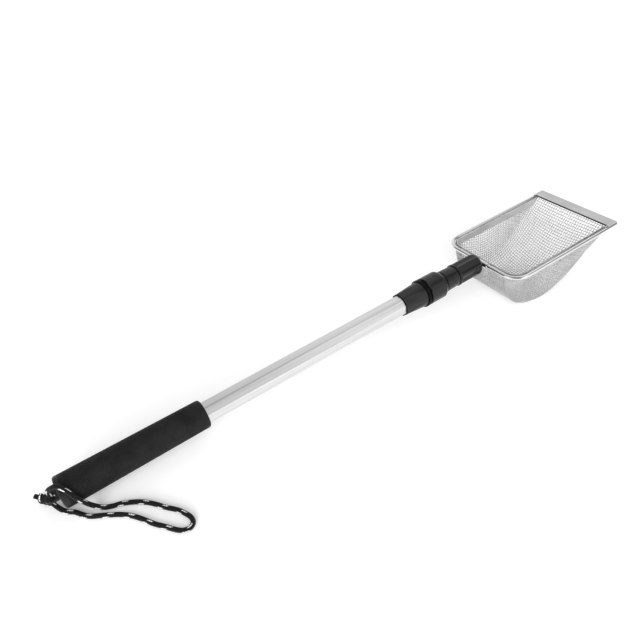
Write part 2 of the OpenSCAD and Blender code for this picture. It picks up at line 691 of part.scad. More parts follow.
grip();
grip_end_cap();
wrist_cord();
cord_knot();
outer_tube();
lock_collar();
clamp_sleeve();
lock_nut();
inner_tube();
guide_bush();
front_ferrule();
scoop_socket();
socket_shank();
shank_clamp();
rim_rod();
front_blade();
mesh_edge_band();
basket_back();
basket_corner_left();
basket_corner_right();
basket_left();
basket_right();
basket_floor();
basket_ramp();
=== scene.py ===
"""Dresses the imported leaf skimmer: a knurled rubber grip, a braided wrist cord with its knot, satin
aluminium tubes, moulded plastic joints, a chromed rim with its steel blade and a woven steel basket.
Every length is in metres, in the part's own frame."""

import math

import bmesh
import bpy
import numpy as np
from mathutils import Matrix, Vector

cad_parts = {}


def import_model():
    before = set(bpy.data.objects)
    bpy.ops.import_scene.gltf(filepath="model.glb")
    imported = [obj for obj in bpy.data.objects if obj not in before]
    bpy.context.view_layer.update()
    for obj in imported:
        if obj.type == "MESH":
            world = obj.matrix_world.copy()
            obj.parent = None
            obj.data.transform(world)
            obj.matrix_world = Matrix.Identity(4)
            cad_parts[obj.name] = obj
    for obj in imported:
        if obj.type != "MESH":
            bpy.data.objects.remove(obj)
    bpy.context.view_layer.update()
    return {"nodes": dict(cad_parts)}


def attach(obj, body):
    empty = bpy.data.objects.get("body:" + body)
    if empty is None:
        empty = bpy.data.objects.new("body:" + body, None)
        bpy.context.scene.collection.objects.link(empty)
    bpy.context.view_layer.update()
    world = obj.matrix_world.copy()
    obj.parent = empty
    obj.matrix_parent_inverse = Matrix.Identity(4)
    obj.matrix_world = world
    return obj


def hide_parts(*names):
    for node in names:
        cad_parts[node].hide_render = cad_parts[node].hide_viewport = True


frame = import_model()
nodes = frame["nodes"]

MM = 0.001
POLE_PITCH = math.radians(5.1526)
BUTT = Vector((-0.37991, 0, 0.01752))
POLE = Matrix.Translation(BUTT) @ Matrix.Rotation(-POLE_PITCH, 4, "Y")
RIM = POLE @ Matrix.Translation((0.5789, 0, 0))


# ---- Camera ----

camera_data = bpy.data.cameras.new("camera")
camera_data.sensor_fit = "HORIZONTAL"
camera_data.sensor_width = 36
camera_data.lens = 33.75
camera_data.clip_start = 0.05
camera_data.clip_end = 20
camera = bpy.data.objects.new("camera", camera_data)
camera.location = (-0.35172, -0.46743, 0.50689)
camera.rotation_euler = [math.radians(a) for a in (52.732, 2.57, -33.766)]
bpy.context.scene.collection.objects.link(camera)
bpy.context.scene.camera = camera


# ---- Finishes ----

# The part of the noise's range that the roughness and the tints run over
NOISE_SPAN = (0.3, 0.7)
TINT_STOPS = (0.36, 0.64)
# The mouldings' specular level, and how far it drops where they are dull
PLASTIC_GLOSS = 0.44
DULL_DROP = 0.38
# How far the painted shade of the gap under a sheet's rear edge reaches on to the sheet, and its colour
REAR_GAP_SHADE_DEPTH = 0.002
REAR_GAP_SHADE_BLACK = (0.012, 0.012, 0.013)


class Nodes:
    """Short calls that add and join the nodes of one tree."""

    def __init__(self, tree):
        self.tree = tree

    def node(self, kind, **settings):
        made = self.tree.nodes.new("ShaderNode" + kind)
        for name, value in settings.items():
            setattr(made, name, value)
        return made

    def join(self, source, target):
        self.tree.links.new(source, target)

    def math(self, operation, first, second=0.5):
        made = self.node("Math", operation=operation)
        for socket, value in zip(made.inputs, (first, second)):
            if isinstance(value, (int, float)):
                socket.default_value = value
            else:
                self.join(value, socket)
        return made.outputs[0]

    def parts(self, vector):
        made = self.node("SeparateXYZ")
        self.join(vector, made.inputs[0])
        return made.outputs

    def spread(self, source, start, end, low, high, steps="LINEAR"):
        """Runs from low to high as the source goes from its start to its end, and stays level outside."""
        made = self.node("MapRange", interpolation_type=steps)
        made.inputs["From Min"].default_value = start
        made.inputs["From Max"].default_value = end
        made.inputs["To Min"].default_value = low
        made.inputs["To Max"].default_value = high
        self.join(source, made.inputs["Value"])
        return made.outputs[0]


class Finish(Nodes):
    """A material with one shader."""

    def __init__(self, name, color, metallic=0.0, roughness=0.5):
        self.material = bpy.data.materials.new(name)
        self.material.use_nodes = True
        super().__init__(self.material.node_tree)
        self.shader = self.tree.nodes["Principled BSDF"]
        self.set("Base Color", (*color, 1))
        self.set("Metallic", metallic)
        self.set("Roughness", roughness)

    def set(self, socket, value):
        self.shader.inputs[socket].default_value = value

    def place(self, scale=(1, 1, 1), along_pole=False):
        """Object coordinates, turned to run along the pole where asked, and scaled."""
        source = self.node("TexCoord").outputs["Object"]
        if along_pole:
            turned = self.node("Mapping", vector_type="TEXTURE")
            turned.inputs["Location"].default_value = BUTT
            turned.inputs["Rotation"].default_value = (0, -POLE_PITCH, 0)
            self.join(source, turned.inputs["Vector"])
            source = turned.outputs[0]
        scaled = self.node("Mapping")
        scaled.inputs["Scale"].default_value = scale
        self.join(source, scaled.inputs["Vector"])
        return scaled.outputs[0]

    def noise(self, place, scale, detail=3.0):
        made = self.node("TexNoise")
        made.inputs["Scale"].default_value = scale
        made.inputs["Detail"].default_value = detail
        self.join(place, made.inputs["Vector"])
        return made.outputs["Fac"]

    def tint(self, source, low, high):
        """Base colour that runs from low to high with the source."""
        ramp = self.node("ValToRGB")
        for element, position, color in zip(ramp.color_ramp.elements, TINT_STOPS, (low, high)):
            element.position = position
            element.color = (*color, 1)
        self.join(source, ramp.inputs["Fac"])
        self.join(ramp.outputs["Color"], self.shader.inputs["Base Color"])

    def paint(self, where, color):
        """Another base colour where the mask is 1."""
        base = self.shader.inputs["Base Color"]
        mix = self.node("Mix", data_type="RGBA")
        self.join(where, mix.inputs["Factor"])
        if base.links:
            self.join(base.links[0].from_socket, mix.inputs["A"])
        else:
            mix.inputs["A"].default_value = base.default_value
        mix.inputs["B"].default_value = (*color, 1)
        self.join(mix.outputs["Result"], base)

    def rough(self, source, low, high):
        self.join(self.spread(source, *NOISE_SPAN, low, high), self.shader.inputs["Roughness"])

    def bump(self, source, height, strength):
        made = self.node("Bump")
        made.inputs["Strength"].default_value = strength
        made.inputs["Distance"].default_value = height
        before = self.shader.inputs["Normal"].links
        if before:
            self.join(before[0].from_socket, made.inputs["Normal"])
        self.join(source, made.inputs["Height"])
        self.join(made.outputs["Normal"], self.shader.inputs["Normal"])


def grip_rubber():
    made = Finish("grip_rubber", (0.008, 0.008, 0.008), roughness=0.6)
    made.set("Specular IOR Level", 0.3)
    place = made.place()
    made.tint(made.noise(place, scale=55), (0.005, 0.005, 0.0052), (0.01, 0.01, 0.0104))
    made.rough(made.noise(place, scale=400), 0.5, 0.7)
    made.bump(made.noise(place, scale=2600, detail=2), height=0.00012, strength=0.5)
    return made.material


def moulded_plastic(name, low, high, roughness, dull=()):
    """Black moulding. Between the pairs of stations given in metres along the pole it is dull."""
    made = Finish(name, high, roughness=roughness)
    made.set("Specular IOR Level", PLASTIC_GLOSS)
    place = made.place()
    made.tint(made.noise(place, scale=70), low, high)
    if dull:
        station = made.parts(made.place(along_pole=True))["X"]
        level = PLASTIC_GLOSS
        for start, end in dull:
            inside = made.math("MULTIPLY", made.math("GREATER_THAN", station, start),
                               made.math("LESS_THAN", station, end))
            level = made.math("SUBTRACT", level, made.math("MULTIPLY", inside, DULL_DROP))
        made.join(level, made.shader.inputs["Specular IOR Level"])
    made.rough(made.noise(place, scale=260), roughness - 0.07, roughness + 0.08)
    made.bump(made.noise(place, scale=3200, detail=2), height=0.00005, strength=0.4)
    made.bump(made.noise(place, scale=110, detail=2), height=0.00025, strength=0.25)
    return made.material


def satin_aluminium():
    made = Finish("satin_aluminium", (0.78, 0.785, 0.79), metallic=1.0, roughness=0.34)
    drawn = made.place((1.2, 420, 420), along_pole=True)
    streaks = made.place((1.6, 100, 100), along_pole=True)
    made.tint(made.noise(streaks, scale=4, detail=4), (0.735, 0.735, 0.738), (0.865, 0.865, 0.868))
    made.rough(made.noise(drawn, scale=4, detail=4), 0.26, 0.42)
    made.bump(made.noise(streaks, scale=4, detail=4), height=0.00006, strength=0.5)
    return made.material


def chrome():
    made = Finish("chrome", (0.86, 0.865, 0.87), metallic=1.0, roughness=0.1)
    place = made.place()
    made.rough(made.noise(place, scale=90), 0.06, 0.15)
    made.bump(made.noise(place, scale=160, detail=2), height=0.0001, strength=0.12)
    return made.material


def sheet_steel(name, low, high, across, painted_gap_shade=None):
    """Satin sheet. Where asked, a dark band is painted along its rear edge as the shade of the gap under
    it: it ends at a station along the pole and has a half width across.
    """
    made = Finish(name, high, metallic=1.0, roughness=0.36)
    grain = made.place(across)
    made.tint(made.noise(made.place(), scale=30), low, high)
    if painted_gap_shade:
        # Painted shade: a dark band at the rear edge stands in for the shadow in the gap under the sheet
        end, half_width = painted_gap_shade
        parts = made.parts(made.place(along_pole=True))
        behind = made.math("LESS_THAN", parts["X"], end)
        ahead = made.math("GREATER_THAN", parts["X"], end - REAR_GAP_SHADE_DEPTH)
        between = made.math("LESS_THAN", made.math("ABSOLUTE", parts["Y"]), half_width)
        made.paint(made.math("MULTIPLY", made.math("MULTIPLY", behind, ahead), between), REAR_GAP_SHADE_BLACK)
    made.rough(made.noise(grain, scale=6, detail=4), 0.3, 0.48)
    made.bump(made.noise(grain, scale=6, detail=3), height=0.00003, strength=0.4)
    return made.material


def drawn_wire():
    made = Finish("drawn_wire", (0.5, 0.5, 0.502), metallic=0.45, roughness=0.3)
    place = made.place()
    made.tint(made.noise(place, scale=45), (0.45, 0.45, 0.452), (0.55, 0.55, 0.552))
    made.rough(made.noise(place, scale=900, detail=2), 0.22, 0.42)
    return made.material


# Where the collar is dull, as stations along the pole: its mouth's face, and its flange and nose
COLLAR_DULL = ((0, 0.4408), (0.4738, 0.49))
# The blade's rear edge between the rails, where the shade of the gap under it is painted dark: its station
# along the pole and its half width
BLADE_GAP_SHADE = (0.7607, 0.0612)
RUBBER = grip_rubber()
CAP_PLASTIC = moulded_plastic("cap_plastic", (0.004, 0.004, 0.0045), (0.007, 0.007, 0.0075), 0.45)
COLLAR_PLASTIC = moulded_plastic("collar_plastic", (0.003, 0.003, 0.0035), (0.006, 0.006, 0.0065), 0.22,
                                 COLLAR_DULL)
NUT_PLASTIC = moulded_plastic("nut_plastic", (0.003, 0.003, 0.0035), (0.006, 0.006, 0.0065), 0.23)
SOCKET_PLASTIC = moulded_plastic("socket_plastic", (0.003, 0.003, 0.0035), (0.005, 0.005, 0.0055), 0.21)
PALE_PLASTIC = moulded_plastic("pale_plastic", (0.7, 0.68, 0.62), (0.8, 0.78, 0.72), 0.45)
ALUMINIUM = satin_aluminium()
CHROME = chrome()
BLADE_STEEL = sheet_steel("blade_steel", (0.6, 0.6, 0.605), (0.68, 0.68, 0.685), (300, 2, 300), BLADE_GAP_SHADE)
BAND_STEEL = sheet_steel("band_steel", (0.62, 0.62, 0.625), (0.75, 0.75, 0.755), (2, 300, 300))
WIRE = drawn_wire()

for node, material in {
    "grip": RUBBER,
    "grip_end_cap": CAP_PLASTIC,
    "outer_tube": ALUMINIUM,
    "lock_collar": COLLAR_PLASTIC,
    "clamp_sleeve": PALE_PLASTIC,
    "lock_nut": NUT_PLASTIC,
    "inner_tube": ALUMINIUM,
    "guide_bush": PALE_PLASTIC,
    "front_ferrule": NUT_PLASTIC,
    "scoop_socket": SOCKET_PLASTIC,
    "socket_shank": CHROME,
    "shank_clamp": CHROME,
    "rim_rod": CHROME,
    "front_blade": BLADE_STEEL,
    "mesh_edge_band": BAND_STEEL,
}.items():
    nodes[node].data.materials.clear()
    nodes[node].data.materials.append(material)


# ---- Shared ways of making a piece ----

def finished(name, mesh, material, body, replaced):
    """Turns a bmesh in the part's frame into a piece that rides on a body."""
    data = bpy.data.meshes.new(name)
    mesh.to_mesh(data)
    mesh.free()
    data.materials.append(material)
    for face in data.polygons:
        face.use_smooth = True
    piece = bpy.data.objects.new(name, data)
    bpy.context.scene.collection.objects.link(piece)
    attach(piece, body)
    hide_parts(*replaced)
    return piece


def through(points, steps):
    """A smooth line through the points, with some steps from each point to the next."""
    points = [Vector(p) for p in points]
    line = []
    for i in range(len(points) - 1):
        a, b = points[max(i - 1, 0)], points[i]
        c, d = points[i + 1], points[min(i + 2, len(points) - 1)]
        for k in range(steps):
            t = k / steps
            line.append(0.5 * (2 * b + (c - a) * t + (2 * a - 5 * b + 4 * c - d) * t * t
                               + (3 * b - a - 3 * c + d) * t ** 3))
    return line + [points[-1]]


def turns_along(line, side):
    """A placing matrix at each point of a line: Z runs along it, and X keeps its side with no twist."""
    placed = []
    for i, point in enumerate(line):
        ahead = (line[min(i + 1, len(line) - 1)] - line[max(i - 1, 0)]).normalized()
        side = (side - side.dot(ahead) * ahead).normalized()
        turn = Matrix((side, ahead.cross(side), ahead)).transposed().to_4x4()
        placed.append(Matrix.Translation(point) @ turn)
    return placed


def tube(mesh, line, side, radius, sides):
    """Extrudes a circle along a line and closes its ends. Each vertex keeps its turn round the cord and its
    way along it."""
    lay = mesh.verts.layers.float_vector.get("cord_lay") or mesh.verts.layers.float_vector.new("cord_lay")
    places = turns_along(line, side)
    ring = bmesh.ops.create_circle(mesh, radius=radius, segments=sides)["verts"]
    for vert in ring:
        vert[lay] = (vert.co.x / radius, vert.co.y / radius, 0)
    bmesh.ops.transform(mesh, matrix=places[0], verts=ring)
    edges = list({edge for vert in ring for edge in vert.link_edges})
    first, run = edges, 0.0
    for before, after, a, b in zip(places, places[1:], line, line[1:]):
        run += (b - a).length
        made = bmesh.ops.extrude_edge_only(mesh, edges=edges)["geom"]
        ring = [item for item in made if isinstance(item, bmesh.types.BMVert)]
        edges = [item for item in made if isinstance(item, bmesh.types.BMEdge)
                 and item.verts[0] in ring and item.verts[1] in ring]
        bmesh.ops.transform(mesh, matrix=after @ before.inverted(), verts=ring)
        for vert in ring:
            vert[lay] = (vert[lay][0], vert[lay][1], run)
    bmesh.ops.edgeloop_fill(mesh, edges=first)
    bmesh.ops.edgeloop_fill(mesh, edges=edges)


# ---- Knurled grip, in millimetres from the butt ----

# The grip's two ends, its radius at each, its bore's radius and its front edge's radius
GRIP_X = (6, 163.4)
GRIP_R = (17.8, 16.5)
GRIP_BORE = 13.15
GRIP_EDGE = 3.4
GRIP_EDGE_STEPS = 6
EDGE_START = GRIP_X[1] - GRIP_EDGE
# The knurl's diamonds round the grip, its vertices to each, its pitch along the grip and its depth
KNURL_ROUND = 28
KNURL_STEPS = 6
KNURL_PITCH = 3.9
KNURL_DEPTH = 0.6
# Half a groove's width as a share of the pitch, and the plain ends with the length of the knurl's fade
GROOVE_SHARE = 0.26
PLAIN_REAR = 2
PLAIN_FRONT = 3
KNURL_FADE = 2


def knurl(turn, x):
    """Depth of the crossed grooves at a turn round the grip and a run along it, in millimetres."""
    deepest = 0
    for slant in (1, -1):
        way = turn * KNURL_ROUND / (2 * math.pi) + slant * x / KNURL_PITCH
        off = abs(way - round(way))
        deepest = max(deepest, 1 - off / GROOVE_SHARE)
    from_rear = (x - GRIP_X[0] - PLAIN_REAR) / KNURL_FADE
    from_front = (EDGE_START - PLAIN_FRONT - x) / KNURL_FADE
    return KNURL_DEPTH * deepest * min(1, max(0, from_rear), max(0, from_front))


def knurled_grip():
    mesh = bmesh.new()
    rings = round((EDGE_START - GRIP_X[0]) / KNURL_PITCH * KNURL_STEPS)
    slope = (GRIP_R[1] - GRIP_R[0]) / (GRIP_X[1] - GRIP_X[0])
    profile = [(GRIP_X[0], GRIP_BORE)]
    for k in range(rings + 1):
        x = GRIP_X[0] + (EDGE_START - GRIP_X[0]) * k / rings
        profile.append((x, GRIP_R[0] + slope * (x - GRIP_X[0])))
    for k in range(1, GRIP_EDGE_STEPS + 1):
        a = math.radians(90 / GRIP_EDGE_STEPS * k)
        profile.append((EDGE_START + GRIP_EDGE * math.sin(a), GRIP_R[1] - GRIP_EDGE * (1 - math.cos(a))))
    profile.append((GRIP_X[1], GRIP_BORE))
    corners = [mesh.verts.new((x, 0, r)) for x, r in profile]
    edges = [mesh.edges.new((a, b)) for a, b in zip(corners, corners[1:] + corners[:1])]
    bmesh.ops.spin(mesh, geom=corners + edges, cent=(0, 0, 0), axis=(1, 0, 0), angle=2 * math.pi,
                   steps=KNURL_ROUND * KNURL_STEPS, use_merge=True)
    for vert in mesh.verts:
        radius = math.hypot(vert.co.y, vert.co.z)
        if radius > (GRIP_BORE + GRIP_R[1]) / 2 and vert.co.x < EDGE_START:
            lower = 1 - knurl(math.atan2(vert.co.z, vert.co.y), vert.co.x) / radius
            vert.co.y *= lower
            vert.co.z *= lower
    bmesh.ops.recalc_face_normals(mesh, faces=mesh.faces)
    bmesh.ops.scale(mesh, vec=(MM, MM, MM), verts=mesh.verts)
    bmesh.ops.transform(mesh, matrix=POLE, verts=mesh.verts)
    finished("knurled_grip", mesh, RUBBER, "pole", ["grip"])


knurled_grip()


# ---- Wrist cord and its knot ----

CORD_D = 5.2 * MM
CORD_SIDES = 16
CORD_STEPS = 5
# Out of the knot, up through the eye, over the butt, down to the floor, round the loop and to the knot
CORD_ROUTE = [
    (-13, 9, 10), (-9.5, 2.5, 12), (-7.8, 0, 15), (-8.4, 0, 23.5), (-7.5, -2, 30), (-3.5, -5.8, 35),
    (1, -9, 37), (7, -15.5, 33), (12.5, -21, 24), (18.5, -22, 12), (25, -25.5, 5.5), (32.5, -31, 3.1),
    (40, -34, 2.7), (48.5, -36.5, 2.7), (60, -42.5, 2.7), (68, -48.5, 2.7), (76, -57, 2.7),
    (83, -66.5, 2.7), (92, -77, 2.7), (97, -86, 2.7), (99.5, -93, 2.7), (98.5, -99.5, 2.7),
    (93.5, -103, 2.7), (87, -101.5, 2.7), (81, -96, 2.7), (74, -87, 2.7), (67, -78.5, 2.7),
    (61, -69, 2.7), (55.5, -61, 2.7), (50, -54.5, 2.7), (42.5, -48, 2.7), (34, -42.5, 2.7),
    (25.5, -37.5, 2.7), (18.5, -33.5, 2.7), (13, -28, 2.7), (6.5, -19, 2.7), (1, -14.5, 2.7),
    (-3.5, -9, 2.9), (-7, -2.3, 3.7), (-10.3, 5.5, 4.9),
]
# The braid: its strands, the length of one turn of a yarn, the yarns' relief and their two colours
STRANDS = 8
LAY_LENGTH = 0.0052
RELIEF_DEPTH = 0.0005
YARN_BLACK = (0.005, 0.005, 0.0055)
YARN_PALE = (0.85, 0.85, 0.83)
# The flecks: their pitch and length along the cord, their turn round it in radians, the sine of twice
# their half width, and the least relief that a yarn has where it comes up
FLECK_PITCH = 0.0215
FLECK_LENGTH = 0.006
FLECK_TURN = 1.15
FLECK_WIDTH = 0.45
FLECK_RELIEF = 0.6
# The knot: its place by the butt, and its heading on the floor in degrees
KNOT_PLACE = (-12.5, 10.5, 6.2)
KNOT_HEADING = 131
# Its wraps: their radius, and in cord diameters their rise with each turn and how far back they start
WRAP_R = 3.35
WRAP_TURNS = 2.6
WRAP_RISE = 0.94
WRAP_BACK = 1.1
WRAP_STEPS = 20
WRAP_SIDES = 12
# Its core, and the middle line of the cut end
CORE_R = 3.2
CORE_Z = (-7.2, -3, 3, 7)
CUT_END = ((0, 4), (0.2, 8), (0.5, 11), (0.3, 13.5), (0, 15.2))
CUT_END_STEPS = 4
CUT_END_SIDES = 14


def by_butt(point):
    """A point measured in millimetres from under the middle of the butt."""
    return Vector((point[0] * MM + BUTT.x, point[1] * MM, point[2] * MM))


def braid():
    """Black braid with a pale yarn that comes up in short slanting flecks, on four sides of the cord."""
    made = Finish("cord_braid", YARN_BLACK, roughness=0.6)
    made.set("Specular IOR Level", 0.25)
    made.set("Sheen Weight", 0.04)
    lay = made.parts(made.node("Attribute", attribute_name="cord_lay").outputs["Vector"])
    turn = made.math("ARCTAN2", lay["Y"], lay["X"])
    along = lay["Z"]
    ways = []
    for slant in (1, -1):
        phase = made.math("ADD", made.math("MULTIPLY", turn, STRANDS / 2),
                          made.math("MULTIPLY", along, slant * 2 * math.pi / LAY_LENGTH))
        ways.append(made.math("ABSOLUTE", made.math("SINE", phase)))
    relief = made.math("MAXIMUM", *ways)
    made.bump(relief, height=RELIEF_DEPTH, strength=0.9)
    quarter = made.math("MULTIPLY", made.math("SUBTRACT", turn, FLECK_TURN), 2)
    flank = made.math("ABSOLUTE", made.math("SINE", quarter))
    helix = made.math("ADD", along, made.math("MULTIPLY", turn, FLECK_PITCH / (2 * math.pi)))
    station = made.math("MODULO", made.math("ADD", helix, 1), FLECK_PITCH)
    pale = made.math("MULTIPLY", made.math("LESS_THAN", station, FLECK_LENGTH),
                     made.math("LESS_THAN", flank, FLECK_WIDTH))
    made.paint(made.math("MULTIPLY", pale, made.math("GREATER_THAN", relief, FLECK_RELIEF)), YARN_PALE)
    return made.material


BRAID = braid()
cord_line = through([by_butt(p) for p in CORD_ROUTE], CORD_STEPS)


def wrist_cord():
    mesh = bmesh.new()
    tube(mesh, cord_line, Vector((0, 1, 0)), CORD_D / 2, CORD_SIDES)
    return finished("braided_wrist_cord", mesh, BRAID, "pole", ["wrist_cord"])


def knot():
    """Tight turns of the cord round its two strands, and the cut end standing out in front."""
    placed = Matrix.Translation(by_butt(KNOT_PLACE)) @ Matrix.Rotation(math.radians(KNOT_HEADING), 4, "Z")
    placed = placed @ Matrix.Rotation(math.radians(90), 4, "Y")
    mesh = bmesh.new()
    wraps = []
    for i in range(-WRAP_STEPS // 4, int(WRAP_TURNS * WRAP_STEPS)):
        a = 2 * math.pi * i / WRAP_STEPS
        z = WRAP_RISE * CORD_D * i / WRAP_STEPS - WRAP_BACK * CORD_D
        wraps.append(placed @ Vector((WRAP_R * MM * math.cos(a), WRAP_R * MM * math.sin(a), z)))
    tube(mesh, wraps, Vector((0, 0, 1)), CORD_D / 2, WRAP_SIDES)
    core = [placed @ Vector((0, 0, z * MM)) for z in CORE_Z]
    tube(mesh, core, Vector((0, 1, 0)), CORE_R * MM, WRAP_SIDES)
    end = [placed @ Vector((x * MM, 0, z * MM)) for x, z in CUT_END]
    tube(mesh, through(end, CUT_END_STEPS), Vector((0, 1, 0)), CORD_D / 2, CUT_END_SIDES)
    return finished("cord_wrap_knot", mesh, BRAID, "pole", ["cord_knot"])


cord_piece = wrist_cord()
knot_piece = knot()


# ---- Woven basket, in the rim's frame, in millimetres from the middle of the near bar ----

WIRE_R = 0.46
WIRE_RISE = 0.42
WIRE_PITCH = 3.8
# How far the ramp sags in its middle, and where along the floor the sag begins
RAMP_SAG = 6.5
SAG_X = 84
# The walls at the rim: their inset from the near bar, their half distance, their lean and their corners
WALL_INSET = 3.585
WALL_HALF = 60.615
WALL_LEAN = 0.11
CORNER_X = 22
CORNER_Y = 42.2
# The turn between wall and floor: its radius, its growth up the ramp, and the most of the depth it takes
FLOOR_CORNER_R = 14
TURN_GROWTH = 0.08
TURN_SHARE = 0.6
# The outline: its height at the rim, its depth, and where its floor and its flat lip end
LIP_Z = 0.8
DEPTH = 76
FLOOR_END = 186
LIP_END = 192
# Where on the back's curve the back turns into the floor
TOE_SHARE = 0.76
BACK_STEPS = 75
FLOOR_STEPS = 120
NORMAL_STEP = 0.4
REACH_SAMPLES = 60
EDGE_HALVINGS = 7
BACK_SHAPE = [(0, 0), (0.01, 0.44), (0.04, 0.74), (0.255, 0.925)]
FLOOR_SHAPE = [(0.255, 0.925), (0.51, 1.145), (0.705, 0.855), (1, 0)]


def outline(shape, t):
    """A point of the basket seen from the side, on a curve whose control points are shares of its size."""
    shares = [(1 - t) ** 3, 3 * t * (1 - t) ** 2, 3 * t * t * (1 - t), t ** 3]
    x = sum(share * p[0] for share, p in zip(shares, shape))
    z = sum(share * p[1] for share, p in zip(shares, shape))
    return WALL_INSET + x * (FLOOR_END - WALL_INSET), LIP_Z - z * (DEPTH + LIP_Z)


back_side = [outline(BACK_SHAPE, t) for t in np.linspace(0, 1, BACK_STEPS + 1)]
floor_side = [outline(FLOOR_SHAPE, t) for t in np.linspace(0, 1, FLOOR_STEPS + 1)][1:]
side_line = np.array(back_side + floor_side + [(LIP_END, LIP_Z)])
side_run = np.concatenate([[0], np.cumsum(np.linalg.norm(np.diff(side_line, axis=0), axis=1))])
TOE_RUN = side_run[int(round(TOE_SHARE * BACK_STEPS))]


def side_point(s):
    return float(np.interp(s, side_run, side_line[:, 0])), float(np.interp(s, side_run, side_line[:, 1]))


TOE_X = side_point(TOE_RUN)[0]


def cross_section(s):
    """At a run along the side: its point, the turn's radius, half the flat floor and the wall's length."""
    x, z = side_point(s)
    depth = max(0.0, -z)
    turn = min(FLOOR_CORNER_R + TURN_GROWTH * max(0.0, x - TOE_X), TURN_SHARE * depth)
    half = WALL_HALF - WALL_LEAN * (depth - turn) - turn
    wall = math.hypot(WALL_HALF - half - turn, LIP_Z - z - turn)
    return x, z, turn, half, wall


def reach(s):
    """How far the cloth goes from its middle line up to the rim."""
    x, z, turn, half, wall = cross_section(s)
    return half + turn * math.pi / 2 + wall


def across(s, t):
    """The point at a way t across the cloth, over the floor, round the turn and up the wall."""
    x, z, turn, half, wall = cross_section(s)
    if t <= half:
        sag = RAMP_SAG * math.sin(math.pi * min(1, max(0, (x - SAG_X) / (FLOOR_END - SAG_X))))
        return Vector((x, t, z - sag * (1 - (t / half) ** 2)))
    if t <= half + turn * math.pi / 2:
        angle = (t - half) / turn
        return Vector((x, half + turn * math.sin(angle), z + turn * (1 - math.cos(angle))))
    share = (t - half - turn * math.pi / 2) / max(wall, 0.01)
    return Vector((x, half + turn, z + turn)).lerp(Vector((x, WALL_HALF, LIP_Z)), share)


TOE_REACH = reach(TOE_RUN) - CORNER_Y


def corner_top(turn):
    """How far the cloth goes up an upright corner, from its foot to the rim, at a turn round it."""
    share = math.sin(turn) ** 2
    return share * TOE_RUN + (1 - share) * TOE_REACH


def cloth(s, t):
    """The pressed cloth: flat coordinates along and across it, to a point of the basket."""
    side = -1 if t < 0 else 1
    t = abs(t)
    if s >= TOE_RUN:
        point = across(s, t)
    elif t <= CORNER_Y:
        x, z = side_point(s)
        point = Vector((x, t, z))
    else:
        up, out = TOE_RUN - s, t - CORNER_Y
        turn = math.atan2(up, out)
        share = math.sin(turn) ** 2
        level = math.hypot(up, out) / corner_top(turn)
        x, back_z = side_point(TOE_RUN * (1 - level))
        wall = across(TOE_RUN, CORNER_Y + level * TOE_REACH)
        middle = CORNER_X + (TOE_X - CORNER_X) * (1 - level)
        ahead = (TOE_X - middle) * (1 - math.sin(turn)) ** 2
        point = Vector((middle + ahead - (middle - x) * math.sin(turn),
                        CORNER_Y + (wall.y - CORNER_Y) * math.cos(turn),
                        share * back_z + (1 - share) * wall.z))
    point.y *= side
    return point


def on_cloth(s, t):
    if s >= TOE_RUN:
        return abs(t) <= reach(s)
    if abs(t) <= CORNER_Y:
        return s >= 0
    up, out = TOE_RUN - s, abs(t) - CORNER_Y
    return math.hypot(up, out) <= corner_top(math.atan2(up, out))


def woven(s, t, rise):
    """A point lifted off the cloth's middle surface, outwards where rise is positive."""
    along = cloth(s + NORMAL_STEP, t) - cloth(max(s - NORMAL_STEP, 0), t)
    sideways = cloth(s, t + NORMAL_STEP) - cloth(s, t - NORMAL_STEP)
    normal = sideways.cross(along)
    if normal.length < 1e-6:
        normal = Vector((0, 0, -1))
    return cloth(s, t) + rise * normal.normalized()


def cloth_edge(inside, outside):
    """The last place on the cloth between a place on it and one off it."""
    for _ in range(EDGE_HALVINGS):
        middle = ((inside[0] + outside[0]) / 2, (inside[1] + outside[1]) / 2)
        if on_cloth(*middle):
            inside = middle
        else:
            outside = middle
    return inside


def wire_run(places, rises):
    """Cuts a wire's flat places to the stretches that lie on the cloth, and lifts them by their rises."""
    stretches, current = [], []
    before = None
    for place, rise in zip(places, rises):
        on = on_cloth(*place)
        if on and before and not current:
            current.append((cloth_edge(place, before), 0))
        if on:
            current.append((place, rise))
        elif current:
            stretches.append(current + [(cloth_edge(current[-1][0], place), 0)])
            current = []
        before = place
    return [[RIM @ (woven(*place, rise) * MM) for place, rise in stretch]
            for stretch in stretches + [current] if len(stretch) > 2]


